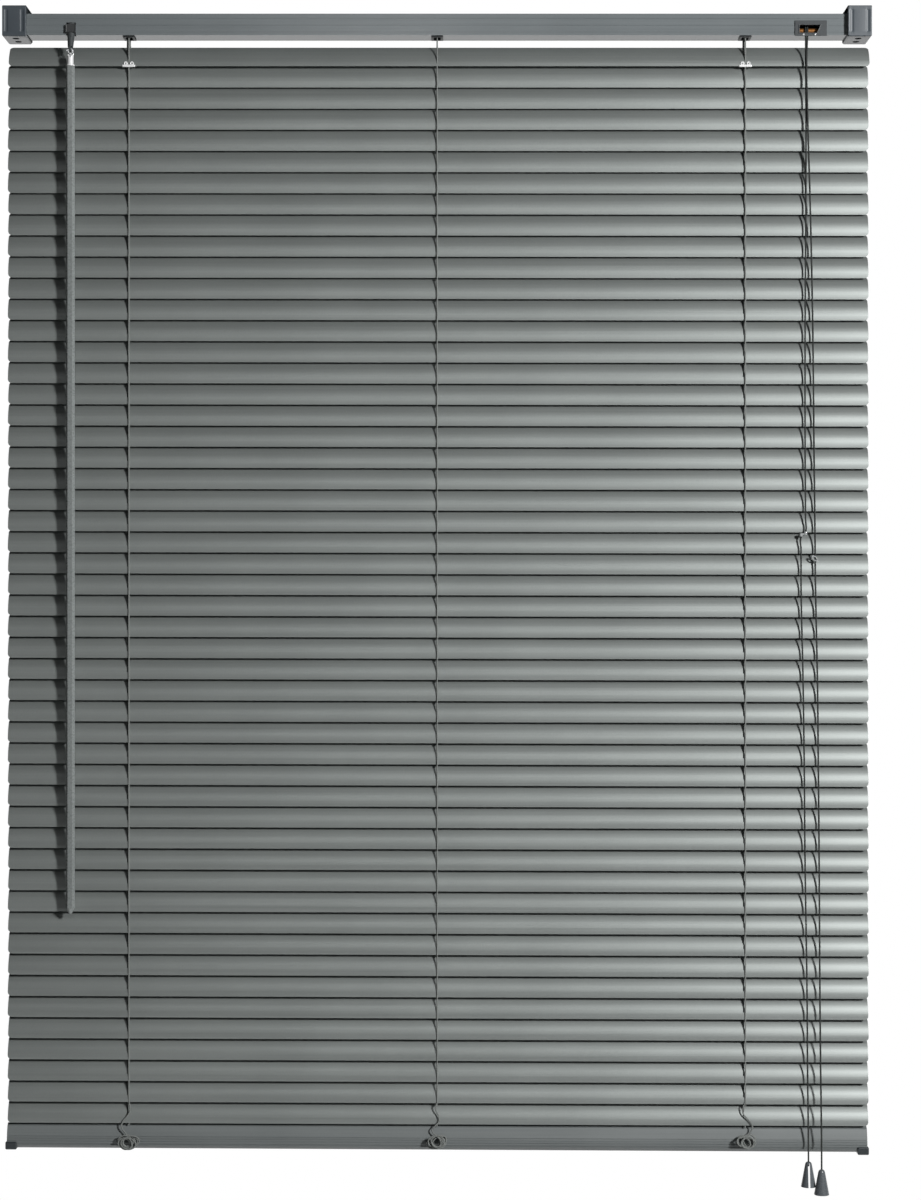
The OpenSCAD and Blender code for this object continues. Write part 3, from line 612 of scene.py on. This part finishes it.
def on_slat(x, i, across, out):
    """A point on a slat as it hangs: across it towards its upper edge, and out of its hollow side."""
    sine, cosine = math.sin(lean_of(i)), math.cos(lean_of(i))
    z = SLAT_TOP - i * SLAT_STEP + across * cosine + out * sine
    return skew(z) @ Vector((x, MID_Y + across * sine - out * cosine, z))


for side, x in LADDERS.items():
    low, high = [[on_slat(x, i, end, RUNG_OUT) for i in range(SLATS)] for end in RUNG_ENDS]
    front = [Vector((x, FRONT_Y, z)) for z in (ROD_Z, *[p.z for p in low[:-1]], FRONT_LOW)]
    back = [Vector((x, BACK_Y, z)) for z in (ROD_Z, *[p.z for p in high], BACK_LOW)]
    rungs = [[Vector((x, FRONT_Y, a.z)), a, b, Vector((x, BACK_Y, b.z))] for a, b in zip(low, high)]
    piece = lines_to_mesh(side + "_ladder_string", [front, back] + rungs, STRING_THICK)
    dress(piece, "string", "headrail", side + "_ladder", smooth=60)
    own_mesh(piece)
    print(side, "ladder:", len(rungs), "rungs")

# %% [markdown]
# ## Lift cords
# The lift cords run from the bottom rail up through the slots in the slats, over the cradles and along
# the headrail to the cord lock. Only slivers of them show, through the slots, so a tube along the
# measured route is enough.

# %% Lift cords
LIFTS = (("left", -322.3, -17.0, 384.5), ("right", 318.7, -20.0, 382.5))
RAIL_Y, SLOT_Y, LOCK_Y, ROLLER_Z = -16.5, -20.42, -28.5, -4.1

for side, x, run, out_x in LIFTS:
    route = place((x, RAIL_Y, -1152), (x, RAIL_Y, -1144), (x, (RAIL_Y + SLOT_Y) / 2, -1141),
                  (x, SLOT_Y, -1138), (x, SLOT_Y, -13), (x + 0.6, SLOT_Y, -10.4),
                  (x + 2, (SLOT_Y + run) / 2, -8.7), (x + 5, run, -8), (367, run, -8),
                  (out_x - 3, run, ROLLER_Z), (out_x - 0.8, run - 0.8, ROLLER_Z), (out_x, run - 3, ROLLER_Z),
                  (out_x, -24.2, ROLLER_Z), (out_x, -27.15, -5.1), (out_x, LOCK_Y, -8), (out_x, LOCK_Y, -12.2))
    piece = lines_to_mesh(side + "_lift_braid", [route], CORD_THICK)
    dress(piece, "cord", "headrail", side + "_lift_cord", smooth=60)
    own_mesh(piece)
    print(side, "lift cord", round(long(route), 3), "m")

# %% [markdown]
# ## Rails, brackets and fittings
# The measured parts have the right shapes, with edges as sharp as knives. Real extrusions and
# mouldings have a small round on every edge, which catches the light. The parts could be drawn anew,
# but then they might no longer fit each other. So a copy of each has its triangles joined into whole
# faces and its edges bevelled.

# %% Soft edges
MERGE, FLAT = 0.000005, math.radians(0.5)
SOFTENED = (("headrail", "rail", "headrail", 0.0003), ("left_cover", "cover", "left_cover", 0.0004),
            ("right_cover", "cover", "right_cover", 0.0004), ("tilter_worm", "stem", "tilter_worm", 0.0003),
            ("wand_sleeve", "clear", "wand", 0.0003), ("wand", "wand", "wand", 0.0004),
            ("cord_lock_body", "lock", "headrail", 0.00025), ("lock_roller", "brass", "lock_roller", 0.0003),
            ("tassel_2", "tassel", "headrail", 0.0004))


def whole(node):
    """A copy of a measured part, with its triangles joined into whole faces."""
    mesh = NODES[node].data.copy()
    mesh.materials.clear()
    piece = bpy.data.objects.new(node + "_finished", mesh)
    bpy.context.scene.collection.objects.link(piece)
    take(piece)
    bpy.ops.object.mode_set(mode="EDIT")
    bpy.ops.mesh.select_all(action="SELECT")
    bpy.ops.mesh.remove_doubles(threshold=MERGE)
    bpy.ops.mesh.dissolve_limited(angle_limit=FLAT)
    bpy.ops.object.mode_set(mode="OBJECT")
    return piece


def edges(piece, width, layers=2, angle=25):
    """Round all the sharp edges of a piece."""
    modify(piece, "BEVEL", width=width, segments=layers, limit_method="ANGLE",
           angle_limit=math.radians(angle))


for node, finish, body, width in SOFTENED:
    piece = whole(node)
    edges(piece, width)
    dress(piece, finish, body, node, smooth=20 if node == "wand" else 30)
    print(node, len(piece.data.polygons), "faces")

# %% [markdown]
# ## Brackets
# Each end of the headrail hangs in a moulded bracket with rounded corners. It could be modelled anew,
# but the measured copy needs only its long corners rounded: the lower ones more, and the upper ones
# less, because the cover's groove opens there. Cuts beside the corners and at the groove's walls keep
# the rounding from reaching into the faces next to it.

# %% Brackets
SIDES = (("left", -1), ("right", 1))
BRACKET_X, HALF_WIDE, HALF_HIGH, BESIDE = 0.4375, 0.0125, 0.016, 0.0022
LOWER_ROUND, UPPER_ROUND = 0.0018, 0.00075
GROOVE = (-0.0346, -0.0310)
NEAR, FAR = 1e-5, 0.001

for side, sign in SIDES:
    node = side + "_end_bracket"
    piece = whole(node)
    bpy.ops.object.mode_set(mode="EDIT")
    for near in (-1, 1):
        cut((sign * BRACKET_X + near * (HALF_WIDE - BESIDE), 0, 0), (1, 0, 0))
        cut((0, 0, near * (HALF_HIGH - BESIDE)), (0, 0, 1))
    for y in GROOVE:
        cut((0, y, 0), (0, 1, 0))
    for height, round_off in ((-HALF_HIGH, LOWER_ROUND), (HALF_HIGH, UPPER_ROUND)):
        choose(piece, "EDGE", lambda at, way: abs(way.y) > FAR and abs(way.x) + abs(way.z) < NEAR
               and abs(abs(at.x - sign * BRACKET_X) - HALF_WIDE) < NEAR and abs(at.z - height) < NEAR)
        bpy.ops.mesh.bevel(offset=round_off, segments=4, affect="EDGES")
    bpy.ops.object.mode_set(mode="OBJECT")
    edges(piece, 0.0004, angle=40)
    dress(piece, "bracket", "headrail", node)
    print(side, "bracket", len(piece.data.polygons), "faces")

# %% [markdown]
# ## Cover plates
# Each bracket is closed by a cover that slides up. Its face is a plate with two shallow hollows, which
# catch the light. The hollows could be carved out with cylinders, but their ends are softer than that.
# So the plate starts as a cube, is cut into strips, and the rows of points in the hollows are pushed
# in along an arc.

# %% Cover plates
PLATE, PLATE_Y, PLATE_ROUND = (0.0246, 0.0014, 0.0316), -0.0366, 0.0020
HOLLOW_X, HOLLOW_HALF, HOLLOW_DEEP, HOLLOW_STEPS = 0.0081, 0.0024, 0.0008, 3
HOLLOW_LOW, HOLLOW_HIGH, HOLLOW_END = -0.0118, 0.0120, 0.0010


def block(name, at, size):
    """A cube at its size and place, as a start."""
    fresh()
    bpy.ops.mesh.primitive_cube_add(size=1, location=at, scale=size)
    piece = bpy.context.object
    piece.name = name
    bpy.ops.object.transform_apply(location=True, scale=True)
    return piece


for side, sign in SIDES:
    middle = Vector((sign * BRACKET_X, PLATE_Y, 0))
    plate = block(side + "_cover_plate", middle, PLATE)
    bpy.ops.object.mode_set(mode="EDIT")
    choose(plate, "EDGE", lambda at, way: abs(way.y) > FAR)
    bpy.ops.mesh.bevel(offset=PLATE_ROUND, segments=4, affect="EDGES")
    rows = [step * HOLLOW_HALF / HOLLOW_STEPS for step in range(-HOLLOW_STEPS, HOLLOW_STEPS + 1)]
    for x in [middle.x + half * HOLLOW_X + row for half in (-1, 1) for row in rows]:
        cut((x, 0, 0), (1, 0, 0))
    for z in (HOLLOW_LOW, HOLLOW_LOW + HOLLOW_END, HOLLOW_HIGH - HOLLOW_END, HOLLOW_HIGH):
        cut((0, 0, z), (0, 0, 1))
    for row in rows[1:-1]:
        choose(plate, "VERT", lambda at, way: at.y < middle.y and HOLLOW_LOW + NEAR < at.z < HOLLOW_HIGH - NEAR
               and min(abs(at.x - middle.x - half * HOLLOW_X - row) for half in (-1, 1)) < NEAR)
        bpy.ops.transform.translate(value=(0, HOLLOW_DEEP * (1 - (row / HOLLOW_HALF) ** 2), 0))
    bpy.ops.object.mode_set(mode="OBJECT")
    edges(plate, 0.0005, 3, 50)
    dress(plate, "cover", side + "_cover", smooth=32)
    print(side, "plate", len(plate.data.polygons), "faces")

# %% [markdown]
# ## Tilter snout
# The tilter's stem comes out of a small dark block in a notch of the headrail's front. The measured
# parts leave the notch open, and what is missing is too small for them. A cube with a sunk front and
# rounded edges gives the block, and a strip of rail closes the notch above it.

# %% Tilter snout
STEM_X, SNOUT_BORDER = -0.3795, 0.0009
SNOUT = (("tilter_snout", "gear", (0.0098, 0.0076, 0.0088), (STEM_X, -0.0310, -0.0072), 0.0004),
         ("notch_strip", "rail", (0.0102, 0.0014, 0.0030), (STEM_X, -0.0303, 0.0008), 0.0))


def sunk_front(piece, border, depth):
    """Inset the front face of a block and push it in."""
    bpy.ops.object.mode_set(mode="EDIT")
    choose(piece, "FACE", lambda at, normal: normal.y < -0.9)
    bpy.ops.mesh.inset(thickness=border)
    bpy.ops.transform.translate(value=(0, depth, 0))
    bpy.ops.object.mode_set(mode="OBJECT")


for name, finish, size, at, sunk in SNOUT:
    piece = block(name, at, size)
    sunk_front(piece, SNOUT_BORDER, sunk)
    edges(piece, 0.0003, angle=20)
    dress(piece, finish, "headrail")
    print(name, len(piece.data.polygons), "faces")

# %% [markdown]
# ## Hook
# A bent wire joins stem and wand. Seen from the front it crosses itself, so a second, oval loop hangs
# through the measured ring. A curve with a bevel could draw it too, but a torus is already closed: it
# is squeezed to an oval and turned.

# %% Hook loop
HOOK_AT, HOOK_RADIUS, HOOK_WIRE = Vector((STEM_X, -0.0351, -0.0322)), 0.0036, 0.0006


def oval(name, at, radius, wire, stretch, turn=0, sides=(32, 8)):
    """A ring that faces the room, stretched and turned about its own middle."""
    fresh()
    bpy.ops.mesh.primitive_torus_add(location=at, rotation=UPRIGHT, major_radius=radius, minor_radius=wire,
                                     major_segments=sides[0], minor_segments=sides[1])
    piece = bpy.context.object
    piece.name = name
    bpy.ops.object.transform_apply(location=True, rotation=True)
    bpy.ops.object.mode_set(mode="EDIT")
    bpy.ops.transform.resize(value=stretch, center_override=at)
    bpy.ops.transform.rotate(value=math.radians(turn), orient_axis="Y", center_override=at)
    bpy.ops.object.mode_set(mode="OBJECT")
    return piece


loop = oval("hook_loop", HOOK_AT, HOOK_RADIUS, HOOK_WIRE, (1.1, 1.0, 0.5), -42)
dress(loop, "steel", "wand_hook", smooth=60)
print("hook loop", len(loop.data.polygons), "faces")

# %% [markdown]
# ## Cord lock
# The plate of the cord lock has a raised rim round its window. It could be four bars, but one face in
# the window's outline keeps the corners whole: it is inset, opened and drawn out.

# %% Lock rim
LOCK_X, LOCK_FRONT, LOCK_SUNK = 0.3875, -0.0322, 0.0002
RIM_WIDE, RIM_OUT = 0.0009, 0.0007
WINDOW = ((-0.0128, -0.0122), (0.0066, -0.0122), (0.0111, -0.0025), (-0.0128, -0.0025))
CORNERS = ((-1, -1), (1, -1), (1, 1), (-1, 1))

fresh()
bpy.ops.mesh.primitive_plane_add(size=2, rotation=UPRIGHT)
rim = bpy.context.object
rim.name = "lock_rim"
bpy.ops.object.transform_apply(rotation=True)
bpy.ops.object.mode_set(mode="EDIT")
for corner, (x, z) in zip(CORNERS, WINDOW):
    choose(rim, "VERT", lambda at, way: abs(at.x - corner[0]) < 0.01 and abs(at.z - corner[1]) < 0.01)
    bpy.ops.transform.translate(value=(LOCK_X + x - corner[0], LOCK_FRONT + LOCK_SUNK, z - corner[1]))
bpy.ops.mesh.select_all(action="SELECT")
bpy.ops.mesh.inset(thickness=RIM_WIDE)
bpy.ops.mesh.delete(type="FACE")
bpy.ops.mesh.select_all(action="SELECT")
bpy.ops.mesh.extrude_region_move(TRANSFORM_OT_translate={"value": (0, -RIM_OUT, 0)})
bpy.ops.mesh.select_all(action="SELECT")
bpy.ops.mesh.normals_make_consistent(inside=False)
bpy.ops.object.mode_set(mode="OBJECT")
edges(rim, 0.0002)
dress(rim, "lock", "headrail")
print("lock rim", len(rim.data.polygons), "faces")

# %% [markdown]
# Two bright pins sit at the foot of the lock's plate. Only their round heads show, so each is a ball
# cut off just inside the plate.

# %% Lock pins
PIN_X, PIN_Z, PIN_RADIUS = (0.3797, 0.3917), -0.0132, 0.0011

pins = []
for x in PIN_X:
    fresh()
    bpy.ops.mesh.primitive_uv_sphere_add(segments=16, ring_count=10, radius=PIN_RADIUS,
                                         location=(x, LOCK_FRONT, PIN_Z))
    pins.append(bpy.context.object)
    bpy.ops.object.transform_apply(location=True)
    bpy.ops.object.mode_set(mode="EDIT")
    bpy.ops.mesh.select_all(action="SELECT")
    bpy.ops.mesh.bisect(plane_co=(0, LOCK_FRONT + LOCK_SUNK, 0), plane_no=(0, 1, 0), clear_outer=True,
                        use_fill=True)
    bpy.ops.object.mode_set(mode="OBJECT")
take(pins[0])
pins[1].select_set(True)
bpy.ops.object.join()
pins[0].name = "lock_pins"
dress(pins[0], "steel", "headrail")
print("lock pins", len(pins[0].data.polygons), "faces")

# %% [markdown]
# ## Clips
# Below the first slat a small white clip grips each outer ladder: a bar with two rings, and the string
# runs down between them. The bar is a softened cube, and the rings are made as the hook's loop was.
# They are modelled once, joined, and copied to the other ladder, so that both are alike.

# %% Clips
CLIP_AT, CLIP_BAR = Vector((0, -0.0246, -0.0441)), (0.0134, 0.0026, 0.0024)
EYES = [Vector((x, -0.00026, 0.0024)) for x in (-0.0032, 0.0032)]
EYE_RADIUS, EYE_WIRE = 0.0014, 0.0007

clip = block("clip", CLIP_AT, CLIP_BAR)
edges(clip, 0.0006, 3)
for eye in EYES:
    ring = oval("eye", CLIP_AT + eye, EYE_RADIUS, EYE_WIRE, (1.0, 1.3, 1.1), sides=(20, 8))
    take(clip)
    ring.select_set(True)
    bpy.ops.object.join()
clip_shape = clip.data.copy()
for side in ("left", "right"):
    piece = clip if side == "left" else clip.copy()
    if side == "right":
        piece.data = clip_shape.copy()
        bpy.context.scene.collection.objects.link(piece)
    piece.name = side + "_clip_white"
    piece.data.transform(Matrix.Translation((LADDERS[side], 0, 0)))
    dress(piece, "clear", "headrail", side + "_clip")
    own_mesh(piece)
print("clips", len(clip_shape.polygons), "faces each")

# %% [markdown]
# ## Stops
# Half way down, cord 1 runs through a pair of pale beads on a bar, and cord 2 through an oval ring.
# The beads are cylinders rounded almost to balls, and the ring is made as the hook's loop was.

# %% Stops
BEADS, BEAD_Y = ((0.38265, -0.5300), (0.3780, -0.5318)), -0.0262
BEAD_RADIUS, BEAD_HIGH, BEAD_ROUND = 0.0018, 0.0036, 0.0010
BAR_AT, BAR = (0.3803, BEAD_Y, -0.5308), (0.0050, 0.0022, 0.0020)
RING_AT, RING_RADIUS, RING_WIRE = Vector((0.3922, -0.0276, -0.5562)), 0.0024, 0.00075

parts = []
for x, z in BEADS:
    fresh()
    bpy.ops.mesh.primitive_cylinder_add(vertices=20, radius=BEAD_RADIUS, depth=BEAD_HIGH,
                                        location=(x, BEAD_Y, z))
    parts.append(bpy.context.object)
    bpy.ops.object.transform_apply(location=True)
    edges(parts[-1], BEAD_ROUND, 4, 50)
bar = block("bead_bar", BAR_AT, BAR)
edges(bar, 0.0005)
take(parts[0])
for other in (parts[1], bar):
    other.select_set(True)
bpy.ops.object.join()
parts[0].name = "stop_beads"
dress(parts[0], "bead", "headrail", "cord_stop_1", slot="clear", smooth=50)

ring = oval("stop_ring", RING_AT, RING_RADIUS, RING_WIRE, (1.4, 1.3, 0.75), -40, (28, 10))
dress(ring, "bead", "headrail", "cord_stop_2", slot="clear", smooth=60)
print("beads", len(parts[0].data.polygons), "faces, ring", len(ring.data.polygons))

# %% [markdown]
# ## First tassel
# The cords end in tapered tassels. The first one is split, and daylight shows through the slit. Its
# measured copy is open in front only, so its back is cut open as well, a little to the right, where
# the eye looks through.

# %% First tassel
SLIT_AT, SLIT = (0.3868, -0.0240, -1.1980), (0.0050, 0.0090, 0.0266)

tassel = whole("tassel_1")
cutter = block("slit", SLIT_AT, SLIT)
modify(tassel, "BOOLEAN", object=cutter, operation="DIFFERENCE", solver="EXACT")
bpy.data.objects.remove(cutter)
edges(tassel, 0.0003)
dress(tassel, "tassel", "headrail", "tassel_1")
print("first tassel", len(tassel.data.polygons), "faces")

# %% [markdown]
# ## Bottom rail
# The bottom rail is an extrusion whose lower, ribbed half turns away from the light. The measured copy
# is flatter there, so it is curled back below its smooth band, point by point, and its grooves are made
# deeper, which draws them as dark lines. It hangs with the slope of the blind.

# %% Bottom rail
CURL_FROM, CURL, STRETCH = -1.1560, 3200.0, 0.2
TWIST, TWIST_FROM, TWIST_OVER = 0.0012, -1.146, 0.010
RIB_Z, RIB_Y, RIB_SLOPE, RIB_LAST, RIB_END = -1.15728, -0.02323, 0.2688, -1.1638, -1.16412
RIB_DEEPER, RIB_WIDER, RIB_MARGIN = 0.00045, 0.0007, 0.0001
GROOVE_FROM, GROOVE_TO = 0.0002, 0.0005


def curled(point):
    """A point of the bottom rail, curled back below the smooth band and set to the blind's slope."""
    below = max(0.0, CURL_FROM - point.z)
    share = min(1.0, max(0.0, (TWIST_FROM - point.z) / TWIST_OVER))
    lower = STRETCH * below + TWIST * point.x * share
    return skew(HANG_Z) @ Vector((point.x, point.y + CURL * below ** 3, point.z - lower))


def grooved(point):
    """A point of the bottom rail with its grooves made deeper, and the lowest one wider too."""
    behind = point.y - (RIB_Y - (RIB_Z - point.z) * RIB_SLOPE)
    in_ribs = RIB_END - RIB_MARGIN < point.z < RIB_Z + RIB_MARGIN
    deep = RIB_DEEPER if in_ribs and GROOVE_FROM < behind < GROOVE_TO else 0.0
    wide = RIB_WIDER if in_ribs and point.z < RIB_LAST and behind < GROOVE_TO else 0.0
    return Vector((point.x, point.y + deep - wide * RIB_SLOPE, point.z - wide))


rail = whole("bottom_rail")
for point in rail.data.vertices:
    point.co = curled(grooved(point.co))
edges(rail, 0.00012, 2)
dress(rail, "base", "bottom_rail", "bottom_rail", slot="rail")
print("bottom rail", len(rail.data.polygons), "faces")

# %% [markdown]
# A dark moulded cap closes the rail at each end. The measured cap is plainer, so a new one is shaped
# from a block, with a sunk front and well-rounded edges, and set to the same slope as the rail.

# %% End caps
CAP_X, CAP_Y, CAP_Z, CAP_TILT = 0.4431, -0.0190, -1.1683, 0.0010
CAP, CAP_BORDER, CAP_SUNK, CAP_ROUND = (0.0118, 0.0125, 0.0080), 0.0016, 0.0003, 0.0014

for side, sign in SIDES:
    cap = block(side + "_cap_moulded", (sign * CAP_X, CAP_Y, CAP_Z), CAP)
    sunk_front(cap, CAP_BORDER, CAP_SUNK)
    edges(cap, CAP_ROUND, 4, 50)
    cap.data.transform(skew(HANG_Z) @ Matrix.Translation((0, 0, -CAP_TILT * sign)))
    dress(cap, "lock", "bottom_rail", side + "_end_cap")
    print(side, "cap", len(cap.data.polygons), "faces")

# %% [markdown]
# ## Pull cord lengths
# Each pull cord's length is worked out once more and its stop is picked out, but neither is kept or passed on.

# %% Pull cord lengths
for i, (piece, points) in enumerate(PULLS.values(), 1):
    long(points)
    (parts[0], ring)[i - 1]

# %% [markdown]
# ## Parts that stay
# The rod, drums, cradles and gears inside the headrail keep their measured shapes. They only need a
# finish each.

# %% Finishes for the parts that stay
for row in frame["record"]["subparts"]:
    part = NODES[row["node"]]
    part.data.materials.clear()
    part.data.materials.append(FINISH[row["material_slot"]])
print("parts that stay have their finishes")

# %% [markdown]
# ## End
# Nothing more is added to the scene here.

# %% End
print("end of the scene")
